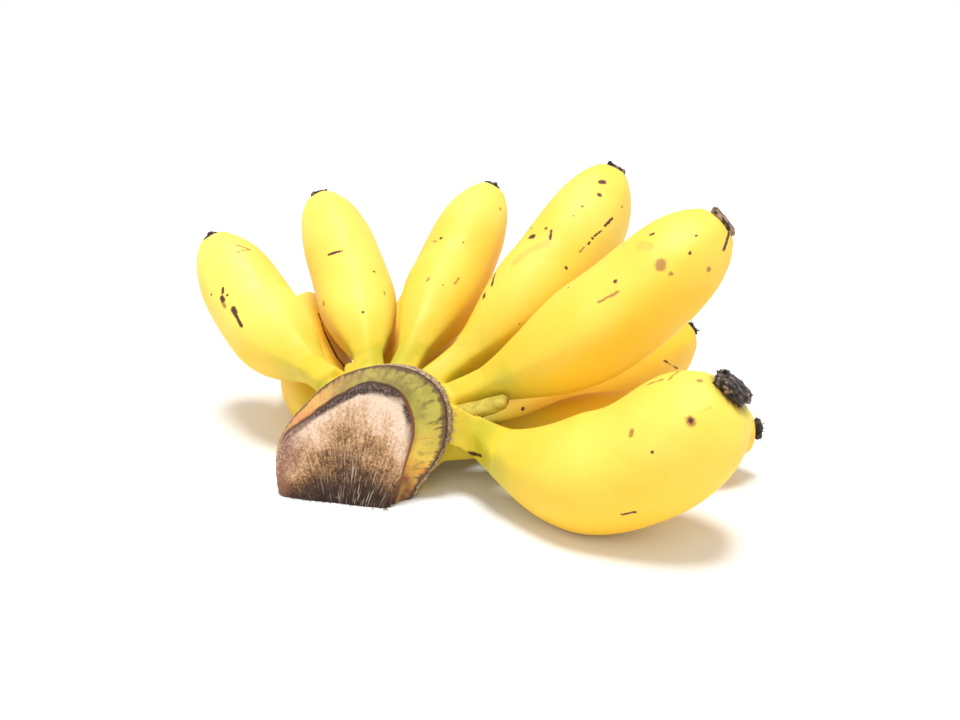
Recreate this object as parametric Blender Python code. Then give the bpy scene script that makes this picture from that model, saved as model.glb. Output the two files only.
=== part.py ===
# A whole hand of small dessert bananas lying on a table, +Z up, metres.
# Eleven plump fruits in two rows fan out of one cut crown. The upper row rises
# off the table, and the lower row and the foremost upper fruit lie on it.
import math
from collections import namedtuple

import bmesh
import bpy
from mathutils import Vector

# Lengths below are in millimetres and angles in degrees.
MM = 0.001
GAP = 0.40                # clear space between neighbouring pieces
PRESS = 0.5               # how far a resting belly is flattened by the table

# The crown seen from above: the necks start on a circle round its middle.
SEAT_CENTRE = (-25.5, -37.5)
SEAT_RADIUS = 25.0
ROOT_DEPTH = 7.0          # how far a neck is rooted inside the crown

# Each fruit: where its neck sits on the circle and how high, the azimuth and
# rise of its neck and of its blossom end, its length and greatest thickness,
# then the length and width of the dried blossom left on it.
Fruit = namedtuple("Fruit", "seat height neck_azimuth neck_rise end_azimuth end_rise "
                            "length thickness blossom_length blossom_width")
UPPER_ROW = (
    Fruit(142, 32.5, 127, 3, 134, 43, 86.5, 30.0, 2.6, 6.0),
    Fruit(106, 32.0, 99, 6, 122, 47, 100.0, 29.5, 2.2, 6.0),
    Fruit(81, 31.0, 75, 17, 63, 40, 100.0, 29.5, 2.0, 6.0),
    Fruit(53, 30.5, 37, 24, 48, 45, 105.0, 32.5, 3.0, 6.6),
    Fruit(26, 27.5, -4, 26, 15, 42, 100.0, 33.0, 6.0, 7.6),
    Fruit(-9, 20.0, -26, -8, -18, 49, 91.5, 36.5, 5.0, 10.5),
)
LOWER_ROW = (
    Fruit(147, 13.0, 102, -4, 104, 29, 97.0, 28.0, 2.6, 6.0),
    Fruit(103, 14.0, 83, -3, 69, 36, 103.0, 31.0, 4.0, 6.4),
    Fruit(73, 13.5, 56, -2, 50, 38, 103.0, 32.0, 4.0, 6.6),
    Fruit(45, 14.5, 30, -2, 23, 24, 104.5, 32.0, 5.0, 6.6),
    Fruit(21, 12.5, 5, 2, -4, 4, 96.0, 29.0, 6.0, 7.0),
)
UPPER_ON_TABLE = (6,)     # numbers of the upper fruits whose belly rests

# Girth along a fruit, as shares of its thickness and length.
NECK_SHARE = 0.33
NECK_END = 0.06
BELLY_START = 0.50
NECK_SWELL = 0.88
SHOULDER = 0.60
END_ROUNDING = 0.94
END_POWER = 2.6
BEND_START = 0.08         # the fruit turns from neck to end between these shares
BEND_END = 0.92
STATIONS = (0.0, 0.06, 0.11, 0.16, 0.21, 0.27, 0.34, 0.42, 0.51, 0.60,
            0.69, 0.77, 0.84, 0.90, 0.945, 0.975, 1.0)
STEPS = 120               # steps in which a centre line is walked

SIDES = 15                # corners of a fruit's cross-section
RIDGES = 5                # soft ridges round a fruit
RIDGE_DEPTH = 0.05        # how far the flats lie inside the ridges, as a share

# The crown, cut across at the front. Its face leans back and turns to the left.
CROWN_FOOT = (SEAT_CENTRE[0] - 6.0, SEAT_CENTRE[1] - 8.5)
CROWN_TURN = -13.0
CROWN_SIDES = 28
CROWN_SQUARE = 2.3        # power of the outline: 2 is an ellipse
Section = namedtuple("Section", "depth shift middle half_width half_height shear lean")
CROWN = (
    Section(-1.6, -8.0, 16.5, 17.0, 16.0, 0.34, 10),     # stalk scar, raised face
    Section(-0.9, -8.0, 16.0, 20.4, 20.0, 0.34, 10),
    Section(0.6, -7.8, 16.0, 21.6, 21.2, 0.34, 10),
    Section(2.4, -7.6, 16.0, 22.0, 21.6, 0.34, 10),      # foot of the scar
    Section(5.6, -2.0, 18.0, 27.6, 22.8, 0.30, 10),      # outer edge of the cut band
    Section(8.0, -2.0, 18.0, 28.4, 22.8, 0.30, 9),       # corky rim
    Section(10.5, -1.6, 18.2, 27.6, 21.4, 0.26, 6),
    Section(19.0, -0.4, 19.0, 26.8, 19.8, 0.18, 0),      # cushion that bears the necks
    Section(27.0, 0.3, 20.2, 24.5, 18.4, 0.12, -4),
    Section(33.0, 0.3, 21.5, 20.0, 15.5, 0.06, -6),
    Section(37.0, 0.3, 22.0, 12.5, 10.0, 0.00, -6),
    Section(38.6, 0.3, 22.0, 5.5, 4.5, 0.00, -6),
)

# A tiny finger that never filled, between the fifth and sixth upper necks.
STUB_SEAT = 4
STUB_HEIGHT = 26.5
STUB_AZIMUTH = -4
STUB_RISE = 15
STUB_LENGTH = 15.0
STUB_GIRTH = ((-0.35, 2.6), (0.3, 2.9), (0.6, 2.7), (0.85, 2.3), (1.0, 1.3))
STUB_SIDES = 8

BLOSSOM_SIDES = 9
BLOSSOM_GIRTH = ((0.0, 0.88), (0.3, 1.0), (0.7, 0.86), (1.0, 0.5))

# Base colour and roughness of each kind of surface.
PEEL = (0.83, 0.62, 0.06), 0.45
CROWN_CUT = (0.33, 0.20, 0.11), 0.85
GREEN_PEEL = (0.50, 0.47, 0.10), 0.55
DRIED = (0.05, 0.035, 0.025), 0.9


def clear_scene():
    for item in list(bpy.data.objects):
        bpy.data.objects.remove(item, do_unlink=True)


def make_collection(name):
    collection = bpy.data.collections.new(name)
    bpy.context.scene.collection.children.link(collection)
    return collection


def make_material(name, surface):
    colour, roughness = surface
    material = bpy.data.materials.new(name)
    material.use_nodes = True
    shader = material.node_tree.nodes["Principled BSDF"]
    shader.inputs["Base Color"].default_value = (*colour, 1.0)
    shader.inputs["Roughness"].default_value = roughness
    shader.inputs["Metallic"].default_value = 0.0
    material.diffuse_color = (*colour, 1.0)
    return material


def heading(azimuth, rise):
    flat = math.cos(math.radians(rise))
    return Vector((flat * math.cos(math.radians(azimuth)),
                   flat * math.sin(math.radians(azimuth)),
                   math.sin(math.radians(rise))))


def smooth(share):
    share = min(1.0, max(0.0, share))
    return share * share * (3.0 - 2.0 * share)


def radius_at(fruit, share):
    swell = max(0.0, share - NECK_END) / (BELLY_START - NECK_END)
    neck = NECK_SHARE + (1.0 - NECK_SHARE) * smooth(swell ** NECK_SWELL)
    towards_end = min(1.0, max(0.0, share - SHOULDER) / (1.0 - SHOULDER))
    rounding = math.sqrt(1.0 - END_ROUNDING * towards_end ** END_POWER)
    return fruit.thickness / 2.0 * neck * rounding


def seat_point(seat, height):
    angle = math.radians(seat)
    return Vector((SEAT_CENTRE[0] + SEAT_RADIUS * math.cos(angle),
                   SEAT_CENTRE[1] + SEAT_RADIUS * math.sin(angle),
                   height))


def heading_at(fruit, share):
    turned = smooth((share - BEND_START) / (BEND_END - BEND_START))
    neck = heading(fruit.neck_azimuth, fruit.neck_rise)
    end = heading(fruit.end_azimuth, fruit.end_rise)
    return neck.slerp(end, turned)


def walk_centre_line(fruit):
    """Points of the centre line at STEPS + 1 equal shares of its length."""
    step = fruit.length / STEPS
    points = [seat_point(fruit.seat, fruit.height)]
    for index in range(STEPS):
        middle = (index + 0.5) / STEPS
        points.append(points[-1] + heading_at(fruit, middle) * step)
    return points


def finger_spine(fruit):
    """Centre points and radii of a fruit, from inside the crown to its end."""
    points = walk_centre_line(fruit)
    root = points[0] - heading_at(fruit, 0.0) * ROOT_DEPTH
    spine = [(root, radius_at(fruit, 0.0))]
    for station in STATIONS:
        spine.append((points[round(station * STEPS)], radius_at(fruit, station)))
    return spine


def make_section_curve(name, sides, ridges, depth, collection):
    """Closed outline of radius 1 mm, with soft ridges, that a fruit is drawn with."""
    data = bpy.data.curves.new(name, "CURVE")
    data.dimensions = "2D"
    spline = data.splines.new("POLY")
    spline.points.add(sides - 1)
    spline.use_cyclic_u = True
    for index, point in enumerate(spline.points):
        angle = math.tau * index / sides
        radius = 1.0 - depth * (1.0 - math.cos(ridges * angle)) / 2.0
        point.co = (MM * radius * math.cos(angle), MM * radius * math.sin(angle), 0.0, 1.0)
    outline = bpy.data.objects.new(name, data)
    outline.hide_render = True
    outline.display_type = "WIRE"
    collection.objects.link(outline)
    return outline


def sweep(name, spine, outline, collection):
    """Closed mesh object: the outline drawn along a spine, swelling with its radii."""
    data = bpy.data.curves.new(name, "CURVE")
    data.dimensions = "3D"
    data.bevel_mode = "OBJECT"
    data.bevel_object = outline
    data.use_fill_caps = True
    spline = data.splines.new("POLY")
    spline.points.add(len(spine) - 1)
    for point, (centre, radius) in zip(spline.points, spine):
        point.co = (*(centre * MM), 1.0)
        point.radius = radius
    drawn = bpy.data.objects.new(name + "_line", data)
    collection.objects.link(drawn)
    bpy.context.view_layer.update()
    evaluated = drawn.evaluated_get(bpy.context.evaluated_depsgraph_get())
    mesh = bpy.data.meshes.new_from_object(evaluated)
    bpy.data.objects.remove(drawn, do_unlink=True)
    mesh.name = name
    shape = bmesh.new()
    shape.from_mesh(mesh)
    bmesh.ops.remove_doubles(shape, verts=shape.verts, dist=0.00001)
    bmesh.ops.recalc_face_normals(shape, faces=shape.faces)
    finish_mesh(shape, mesh)
    piece = bpy.data.objects.new(name, mesh)
    collection.objects.link(piece)
    return piece


def flatten_at_table(shape):
    """Cut a closed mesh at z = 0 and close it again with one flat face."""
    geometry = shape.verts[:] + shape.edges[:] + shape.faces[:]
    cut = bmesh.ops.bisect_plane(shape, geom=geometry, dist=0.000001, plane_co=(0, 0, 0),
                                 plane_no=(0, 0, 1), clear_inner=True)
    rim = [item for item in cut["geom_cut"] if isinstance(item, bmesh.types.BMEdge)]
    if rim:
        bmesh.ops.edgeloop_fill(shape, edges=rim)
        bmesh.ops.recalc_face_normals(shape, faces=shape.faces)


def finish_mesh(shape, mesh):
    shape.to_mesh(mesh)
    shape.free()
    mesh.shade_smooth()
    mesh.set_sharp_from_angle(angle=math.radians(40.0))


def crown_ring(section):
    """Points of one cross-section of the crown, in the order the loft joins them."""
    right = heading(CROWN_TURN, 0.0)
    back = heading(CROWN_TURN + 90.0, 0.0)
    foot = Vector((CROWN_FOOT[0], CROWN_FOOT[1], 0.0))
    power = 2.0 / CROWN_SQUARE
    points = []
    for index in range(CROWN_SIDES):
        angle = math.tau * (index + 0.5) / CROWN_SIDES
        across = math.copysign(abs(math.cos(angle)) ** power, math.cos(angle))
        upward = math.copysign(abs(math.sin(angle)) ** power, math.sin(angle))
        above = section.half_height * upward
        height = section.middle + above
        sideways = section.shift + section.half_width * across + section.shear * above
        depth = section.depth + height * math.tan(math.radians(section.lean))
        points.append(foot + right * sideways + back * depth + Vector((0.0, 0.0, height)))
    return points


def make_crown(name, material, collection):
    """Loft through the crown's unlike cross-sections, capped at both ends."""
    shape = bmesh.new()
    rings = []
    for section in CROWN:
        rings.append([shape.verts.new(point * MM) for point in crown_ring(section)])
    for near, far in zip(rings, rings[1:]):
        for index in range(CROWN_SIDES):
            after = (index + 1) % CROWN_SIDES
            shape.faces.new((near[index], near[after], far[after], far[index]))
    shape.faces.new(rings[0])
    shape.faces.new(rings[-1])
    bmesh.ops.recalc_face_normals(shape, faces=shape.faces)
    flatten_at_table(shape)
    mesh = bpy.data.meshes.new(name)
    finish_mesh(shape, mesh)
    mesh.materials.append(material)
    crown = bpy.data.objects.new(name, mesh)
    collection.objects.link(crown)
    return crown


def make_clearance(crown, collection):
    """A copy of the crown grown by the gap, which trims the necks."""
    mesh = crown.data.copy()
    shape = bmesh.new()
    shape.from_mesh(mesh)
    shape.normal_update()
    moves = [(vert, vert.co + vert.normal * GAP * MM) for vert in shape.verts]
    for vert, place in moves:
        vert.co = place
    shape.to_mesh(mesh)
    shape.free()
    clearance = bpy.data.objects.new("crown_clearance", mesh)
    clearance.hide_render = True
    clearance.display_type = "WIRE"
    collection.objects.link(clearance)
    return clearance


def trim_at_crown(piece, clearance):
    trim = piece.modifiers.new("trim_at_crown", "BOOLEAN")
    trim.operation = "DIFFERENCE"
    trim.solver = "EXACT"
    trim.object = clearance


def lay_on_table(finger):
    """Lower a fruit until the table flattens its belly by PRESS; return the drop."""
    shape = bmesh.new()
    shape.from_mesh(finger.data)
    drop = min(vert.co.z for vert in shape.verts) + PRESS * MM
    bmesh.ops.translate(shape, verts=shape.verts, vec=(0.0, 0.0, -drop))
    flatten_at_table(shape)
    finish_mesh(shape, finger.data)
    return drop / MM


def make_finger(name, fruit, rests, outline, clearance, material, collection):
    """One fruit, trimmed clear of the crown; returns the middle of its blunt end."""
    spine = finger_spine(fruit)
    finger = sweep(name, spine, outline, collection)
    drop = lay_on_table(finger) if rests else 0.0
    finger.data.materials.append(material)
    trim_at_crown(finger, clearance)
    return spine[-1][0] - Vector((0.0, 0.0, drop))


def make_blossom(name, fruit, end_point, outline, material, collection):
    """The dried flower remnant, just clear of the fruit's blunt end."""
    along = heading(fruit.end_azimuth, fruit.end_rise)
    spine = []
    for share, girth in BLOSSOM_GIRTH:
        distance = GAP + share * fruit.blossom_length
        spine.append((end_point + along * distance, girth * fruit.blossom_width / 2.0))
    blossom = sweep(name, spine, outline, collection)
    blossom.data.materials.append(material)


def make_stub(name, outline, clearance, material, collection):
    seat = seat_point(STUB_SEAT, STUB_HEIGHT)
    along = heading(STUB_AZIMUTH, STUB_RISE)
    spine = [(seat + along * share * STUB_LENGTH, girth) for share, girth in STUB_GIRTH]
    stub = sweep(name, spine, outline, collection)
    stub.data.materials.append(material)
    trim_at_crown(stub, clearance)


def build():
    clear_scene()
    hand = make_collection("banana_hand")
    cutters = make_collection("cutters")
    peel = make_material("ripe_peel", PEEL)
    cut = make_material("crown_cut_surface", CROWN_CUT)
    green = make_material("green_peel", GREEN_PEEL)
    dried = make_material("dried_blossom", DRIED)

    crown = make_crown("crown", cut, hand)
    clearance = make_clearance(crown, cutters)
    fruit_outline = make_section_curve("fruit_outline", SIDES, RIDGES, RIDGE_DEPTH, cutters)
    round_outline = make_section_curve("blossom_outline", BLOSSOM_SIDES, 3, 0.12, cutters)
    stub_outline = make_section_curve("stub_outline", STUB_SIDES, 4, 0.1, cutters)

    for row, fruits in (("upper", UPPER_ROW), ("lower", LOWER_ROW)):
        for number, fruit in enumerate(fruits, start=1):
            rests = row == "lower" or number in UPPER_ON_TABLE
            end_point = make_finger(f"finger_{row}_{number}", fruit, rests, fruit_outline,
                                    clearance, peel, hand)
            make_blossom(f"blossom_tip_{row}_{number}", fruit, end_point, round_outline,
                         dried, hand)
    make_stub("undeveloped_finger", stub_outline, clearance, green, hand)


build()
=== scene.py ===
import math
import random

import bmesh
import bpy
from mathutils import Matrix, Vector, noise


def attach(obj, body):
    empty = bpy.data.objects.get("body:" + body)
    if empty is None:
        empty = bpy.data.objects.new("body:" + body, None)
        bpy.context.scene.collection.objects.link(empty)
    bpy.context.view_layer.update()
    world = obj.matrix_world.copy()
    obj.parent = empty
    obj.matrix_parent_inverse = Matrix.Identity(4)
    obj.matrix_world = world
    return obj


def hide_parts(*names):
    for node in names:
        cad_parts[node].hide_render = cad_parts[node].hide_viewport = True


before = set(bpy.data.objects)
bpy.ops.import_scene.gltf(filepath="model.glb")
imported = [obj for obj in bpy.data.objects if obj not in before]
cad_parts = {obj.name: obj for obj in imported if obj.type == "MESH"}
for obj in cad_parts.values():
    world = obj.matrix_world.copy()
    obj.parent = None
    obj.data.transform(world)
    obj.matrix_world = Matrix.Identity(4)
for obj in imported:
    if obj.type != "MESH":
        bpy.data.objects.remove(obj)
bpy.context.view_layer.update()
print("frame loaded:", len(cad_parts), "nodes")

mm = 0.001

# Places and sizes in millimetres and degrees, as in the part's source.
hand = {
    "centre": (-25.5, -37.5),     # the necks start on a circle round this point
    "seatRadius": 25.0,
    "bodyHeight": 22.0,           # the middle of the crown above the table
    "rootDepth": 7.0,             # how far a neck is rooted in the crown
    "usualLength": 95.0,          # shares of a root are counted in fruits of this length
    "tableDent": 0.5,             # how far a resting belly is flattened
}
rootShare = hand["rootDepth"] / hand["usualLength"]

# All places along a fruit are shares of its length, from the neck to the blunt end.
girth = {
    "neck": 0.33, "neckEnd": 0.06, "bellyStart": 0.50, "swell": 0.88,
    "shoulder": 0.60, "endRounding": 0.93, "blunt": 3.1,
    "bendStart": 0.08, "bendEnd": 0.92,
    "pressed": 0.11,              # the part that starts behind the crown's rim
    "sleeve": 0.17,               # the part that the crown's own skin covers
}

# neck and end are (azimuth, rise); cap is the length and width of the dried flower.
fruits = {
    "upper_1": {"seat": 142, "height": 32.5, "neck": (127, 3), "end": (134, 43),
                "length": 86.5, "thickness": 30.0, "cap": (2.8, 7.0), "warmth": -0.6},
    "upper_2": {"seat": 106, "height": 32.0, "neck": (99, 6), "end": (122, 47),
                "length": 101.0, "thickness": 29.5, "cap": (2.4, 7.2), "warmth": -0.6},
    "upper_3": {"seat": 81, "height": 31.0, "neck": (75, 17), "end": (63, 40),
                "length": 100.0, "thickness": 29.5, "cap": (3.2, 7.2), "warmth": 0.1},
    "upper_4": {"seat": 53, "height": 30.5, "neck": (37, 24), "end": (48, 45),
                "length": 105.0, "thickness": 32.5, "cap": (3.2, 7.6), "warmth": 0.4},
    "upper_5": {"seat": 26, "height": 27.5, "neck": (-4, 26), "end": (15, 42),
                "length": 100.0, "thickness": 33.0, "cap": (6.0, 10.6), "warmth": 0.6},
    "upper_6": {"seat": -9, "height": 20.0, "neck": (-26, -16), "end": (-17, 52),
                "length": 91.5, "thickness": 36.5, "blunt": 4.6, "cap": (5.0, 11.4),
                "sleeve": 0.225, "pressed": 0.16, "warmth": -0.2, "rests": True},
    "lower_1": {"seat": 147, "height": 13.0, "neck": (102, -4), "end": (104, 29),
                "length": 97.0, "thickness": 28.0, "cap": (2.6, 6.0), "warmth": 0.5,
                "rests": True},
    "lower_2": {"seat": 103, "height": 14.0, "neck": (83, -3), "end": (69, 36),
                "length": 103.0, "thickness": 31.0, "cap": (4.0, 6.4), "warmth": 0.6,
                "rests": True},
    "lower_3": {"seat": 73, "height": 13.5, "neck": (56, -2), "end": (50, 38),
                "length": 103.0, "thickness": 32.0, "cap": (4.0, 6.6), "warmth": 0.7,
                "rests": True},
    # lower_4's and lower_5's high warmth is partly their riper orange peel and partly painted
    # shade, as the upper row shades them
    "lower_4": {"seat": 45, "height": 14.5, "neck": (30, -2), "end": (23, 24),
                "length": 104.5, "thickness": 32.0, "cap": (5.0, 5.4), "warmth": 2.2,
                "rests": True},
    "lower_5": {"seat": 21, "height": 12.5, "neck": (5, 2), "end": (-4, 4),
                "length": 96.0, "thickness": 29.0, "cap": (6.0, 6.4), "warmth": 1.2,
                "rests": True},
}


# Small helpers for shapes

def smooth(share):
    share = min(1.0, max(0.0, share))
    return share * share * (3.0 - 2.0 * share)


def heading(azimuth, rise):
    flat = math.cos(math.radians(rise))
    return Vector((flat * math.cos(math.radians(azimuth)),
                   flat * math.sin(math.radians(azimuth)),
                   math.sin(math.radians(rise))))


def wobble(point, size, seed=0.0):
    # smooth noise from about -1 to 1, with lumps of the given size in mm
    return noise.noise(point / size + Vector((seed, seed * 0.7, seed * 1.3)))


def linkPiece(name, bm, slotName, *nodes):
    bmesh.ops.recalc_face_normals(bm, faces=bm.faces)
    for face in bm.faces:
        face.smooth = True
    mesh = bpy.data.meshes.new(name)
    bm.to_mesh(mesh)
    bm.free()
    piece = bpy.data.objects.new(name, mesh)
    bpy.context.scene.collection.objects.link(piece)
    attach(piece, "root")
    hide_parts(*nodes)
    return piece


# The crown's cut face: its foot in mm, which way it turns, and how far it leans back
crownFace = {"foot": (hand["centre"][0] - 6.0, hand["centre"][1] - 8.5), "turn": -13.0,
             "lean": 10.0}
rimPlane = 8.6                # mm behind the face; the necks start behind it

crownRight = heading(crownFace["turn"], 0.0)
crownBack = heading(crownFace["turn"] + 90.0, 0.0)
crownFoot = Vector((*crownFace["foot"], 0.0))


def faceDepth(point):
    # mm behind the plane that the cut face leans along
    lean = math.tan(math.radians(crownFace["lean"]))
    return (point - crownFoot).dot(crownBack) - point.z * lean


# Helpers for materials

def setSockets(tree, made, values):
    for socket, value in values.items():
        if isinstance(value, bpy.types.NodeSocket):
            tree.links.new(value, made.inputs[socket])
        else:
            made.inputs[socket].default_value = value


def addNode(tree, kind, values=None, **settings):
    made = tree.nodes.new(kind)
    for name, value in settings.items():
        setattr(made, name, value)
    setSockets(tree, made, values or {})
    return made


def maths(tree, operation, first, second=0.0, clamp=False):
    return addNode(tree, "ShaderNodeMath", {0: first, 1: second},
                   operation=operation, use_clamp=clamp).outputs[0]


def vectorMaths(tree, operation, first, second=(0.0, 0.0, 0.0), output=0):
    return addNode(tree, "ShaderNodeVectorMath", {0: first, 1: second},
                   operation=operation).outputs[output]


def span(tree, value, low, high, start=0.0, stop=1.0, kind="SMOOTHSTEP"):
    # the value's place between low and high, eased, as a number from start to stop
    return addNode(tree, "ShaderNodeMapRange",
                   {"Value": value, "From Min": low, "From Max": high,
                    "To Min": start, "To Max": stop}, interpolation_type=kind).outputs[0]


def blendColours(tree, share, first, second):
    made = addNode(tree, "ShaderNodeMix", data_type="RGBA")
    values = {0: share, 6: first, 7: second}
    setSockets(tree, made, {socket: (*value, 1.0) if isinstance(value, tuple) else value
                            for socket, value in values.items()})
    return made.outputs[2]


def noiseOf(tree, place, scale, detail=2.0, roughness=0.5):
    return addNode(tree, "ShaderNodeTexNoise",
                   {"Vector": place, "Scale": scale, "Detail": detail,
                    "Roughness": roughness}).outputs["Fac"]


def colourRamp(tree, value, stops):
    made = addNode(tree, "ShaderNodeValToRGB", {"Fac": value})
    line = made.color_ramp.elements
    while len(line) < len(stops):
        line.new(0.5)
    for element, (place, colour) in zip(line, stops):
        element.position = place
        element.color = (*colour, 1.0)
    return made.outputs[0]


def attribute(tree, name):
    return addNode(tree, "ShaderNodeAttribute", attribute_name=name).outputs["Fac"]


def newGroup(name, inputs, outputs):
    group = bpy.data.node_groups.new(name, "ShaderNodeTree")
    for label, kind, value in inputs:
        socket = group.interface.new_socket(label, in_out="INPUT",
                                            socket_type="NodeSocket" + kind)
        if value is not None:
            socket.default_value = value
    for label, kind in outputs:
        group.interface.new_socket(label, in_out="OUTPUT", socket_type="NodeSocket" + kind)
    return group, group.nodes.new("NodeGroupInput").outputs, group.nodes.new("NodeGroupOutput")


def placeGroup(tree, group, values):
    made = addNode(tree, "ShaderNodeGroup", node_tree=group)
    setSockets(tree, made, values)
    return made.outputs


def placeInMm(tree):
    coordinates = addNode(tree, "ShaderNodeTexCoord").outputs["Object"]
    return addNode(tree, "ShaderNodeVectorMath", {0: coordinates, "Scale": 1000.0},
                   operation="SCALE").outputs[0]


def newMaterial(name, **constants):
    material = bpy.data.materials.new(name)
    material.use_nodes = True
    shader = material.node_tree.nodes["Principled BSDF"]
    for socket, value in constants.items():
        shader.inputs[socket.replace("_", " ")].default_value = value
    return material, material.node_tree, shader


def addBump(tree, shader, height, strength, distance):
    bump = addNode(tree, "ShaderNodeBump", {"Height": height, "Strength": strength,
                                            "Distance": distance})
    tree.links.new(bump.outputs["Normal"], shader.inputs["Normal"])


# Shader groups

# where a mark's edge fades, in shares of half its width
markEdge = {"inner": 0.50, "outer": 1.60}


def makeStrokeGroup():
    # 1 inside a stroke from Start to End, 0 outside, joined with the mask Before
    group, given, result = newGroup(
        "stroke",
        [("Place", "Vector", None), ("Start", "Vector", None), ("End", "Vector", None),
         ("Width", "Float", 0.6), ("Before", "Float", 0.0)],
        [("Mask", "Float")])
    line = vectorMaths(group, "SUBTRACT", given["End"], given["Start"])
    reach = vectorMaths(group, "SUBTRACT", given["Place"], given["Start"])
    along = vectorMaths(group, "DOT_PRODUCT", reach, line, output="Value")
    whole = vectorMaths(group, "DOT_PRODUCT", line, line, output="Value")
    share = maths(group, "DIVIDE", along, maths(group, "MAXIMUM", whole, 0.0001), clamp=True)
    nearest = vectorMaths(group, "MULTIPLY", line, share)
    away = vectorMaths(group, "DISTANCE", reach, nearest, output="Value")
    half = maths(group, "MULTIPLY", given["Width"], 0.5)
    mask = span(group, away, maths(group, "MULTIPLY", half, markEdge["inner"]),
                maths(group, "MULTIPLY", half, markEdge["outer"]), 1.0, 0.0)
    group.links.new(maths(group, "MAXIMUM", mask, given["Before"]), result.inputs["Mask"])
    return group


def makeSpeckGroup():
    # scattered round specks: 1 in a speck, 0 between
    group, given, result = newGroup(
        "specks",
        [("Place", "Vector", None), ("Scale", "Float", 0.12), ("Size", "Float", 0.06),
         ("Share", "Float", 0.3)],
        [("Mask", "Float")])
    cells = addNode(group, "ShaderNodeTexVoronoi", {"Vector": given["Place"],
                                                    "Scale": given["Scale"]})
    parts = addNode(group, "ShaderNodeSeparateColor", {0: cells.outputs["Color"]}).outputs
    size = maths(group, "MULTIPLY", given["Size"], span(group, parts[1], 0.0, 1.0, 0.4, 1.6))
    dot = span(group, cells.outputs["Distance"], maths(group, "MULTIPLY", size, 0.6), size,
               1.0, 0.0)
    chosen = maths(group, "LESS_THAN", parts[0], given["Share"])
    group.links.new(maths(group, "MULTIPLY", dot, chosen), result.inputs["Mask"])
    return group


peelLook = {
    "lemon": (0.92, 0.765, 0.135), "golden": (0.94, 0.575, 0.028),
    "green": (0.48, 0.46, 0.030), "neck": (0.75, 0.55, 0.030),
    "speck": (0.16, 0.055, 0.012), "scuff": (0.55, 0.31, 0.06),
    "mottle": (0.88, 0.66, 0.06), "singed": (0.24, 0.11, 0.035),
    # how much a fruit's warmth and the crown's nearness turn it golden, and how much painted shade
    # turns its underside golden, standing for the warm shade under a fruit
    "warmthShare": 0.40, "undersideShadeShare": 0.78, "nearShare": 0.36,
    "greenFrom": 34.0, "greenTo": 54.0,       # mm from the middle of the crown
}


def makePeelGroup(specks):
    # ripe peel: lemon to golden, greener towards the crown, with a few specks
    look = peelLook
    group, given, result = newGroup(
        "ripePeel",
        [("Place", "Vector", None), ("Seed", "Vector", None), ("Ridge", "Float", 0.0),
         ("Warmth", "Float", 0.0), ("UndersideShade", "Float", 0.0)],
        [("Colour", "Color"), ("Roughness", "Float"), ("Height", "Float")])
    place = given["Place"]
    own = vectorMaths(group, "ADD", place, given["Seed"])
    centre = (hand["centre"][0], hand["centre"][1], hand["bodyHeight"])
    away = vectorMaths(group, "DISTANCE", place, centre, output="Value")
    beyondNeck = span(group, away, 40.0, 62.0)

    broad = noiseOf(group, own, 0.032, 2.0)
    warm = maths(group, "ADD", maths(group, "MULTIPLY", given["Warmth"], look["warmthShare"]),
                 span(group, broad, 0.34, 0.70, 0.0, 0.45))
    warm = maths(group, "ADD", warm, span(group, away, 55.0, 115.0, look["nearShare"], 0.0))
    # painted shade: the more a point faces down, the more golden it turns
    warm = maths(group, "ADD", warm,
                 maths(group, "MULTIPLY", given["UndersideShade"], look["undersideShadeShare"]), clamp=True)
    colour = blendColours(group, warm, look["lemon"], look["golden"])
    mottle = span(group, noiseOf(group, own, 0.22, 3.0), 0.35, 0.75)
    colour = blendColours(group, maths(group, "MULTIPLY", mottle, 0.16), colour,
                          look["mottle"])
    ofNeck = maths(group, "SUBTRACT", 1.0, span(group, away, 40.0, 66.0))
    colour = blendColours(group, maths(group, "MULTIPLY", ofNeck, 0.75), colour, look["neck"])
    patchy = span(group, noiseOf(group, place, 0.07, 2.0), 0.38, 0.66)
    green = span(group, away, look["greenFrom"], look["greenTo"], 1.0, 0.0)
    green = maths(group, "MULTIPLY", green, span(group, patchy, 0.0, 1.0, 0.12, 0.70))
    colour = blendColours(group, green, colour, look["green"])

    # faint brown scuffs, mostly on the ridges
    rough = span(group, noiseOf(group, own, 0.55, 4.0, 0.65), 0.60, 0.72)
    scuffs = maths(group, "MULTIPLY", rough, span(group, given["Ridge"], 0.2, 1.0, 0.05, 0.30))
    scuffs = maths(group, "MULTIPLY", scuffs, beyondNeck)
    colour = blendColours(group, scuffs, colour, look["scuff"])

    small = placeGroup(group, specks, {"Place": own, "Scale": 0.16, "Size": 0.055,
                                       "Share": 0.16})["Mask"]
    large = placeGroup(group, specks, {"Place": vectorMaths(group, "ADD", own, (40, 3, 9)),
                                       "Scale": 0.06, "Size": 0.045,
                                       "Share": 0.14})["Mask"]
    spotted = maths(group, "MULTIPLY", maths(group, "MAXIMUM", small, large), beyondNeck)
    colour = blendColours(group, maths(group, "MULTIPLY", spotted, 0.85), colour, look["speck"])

    roughness = span(group, noiseOf(group, own, 0.09, 3.0), 0.3, 0.7, 0.48, 0.62)
    roughness = maths(group, "ADD", roughness, maths(group, "MULTIPLY", spotted, 0.25))
    pores = noiseOf(group, own, 2.2, 3.0, 0.6)
    dents = noiseOf(group, own, 0.16, 2.0)
    height = maths(group, "ADD", maths(group, "MULTIPLY", pores, 0.12), dents)
    height = maths(group, "SUBTRACT", height, maths(group, "MULTIPLY", spotted, 0.25))
    group.links.new(colour, result.inputs["Colour"])
    group.links.new(roughness, result.inputs["Roughness"])
    group.links.new(height, result.inputs["Height"])
    return group


strokeGroup = makeStrokeGroup()
speckGroup = makeSpeckGroup()
peelGroup = makePeelGroup(speckGroup)
print("shader groups made")


# The fruits

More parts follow.
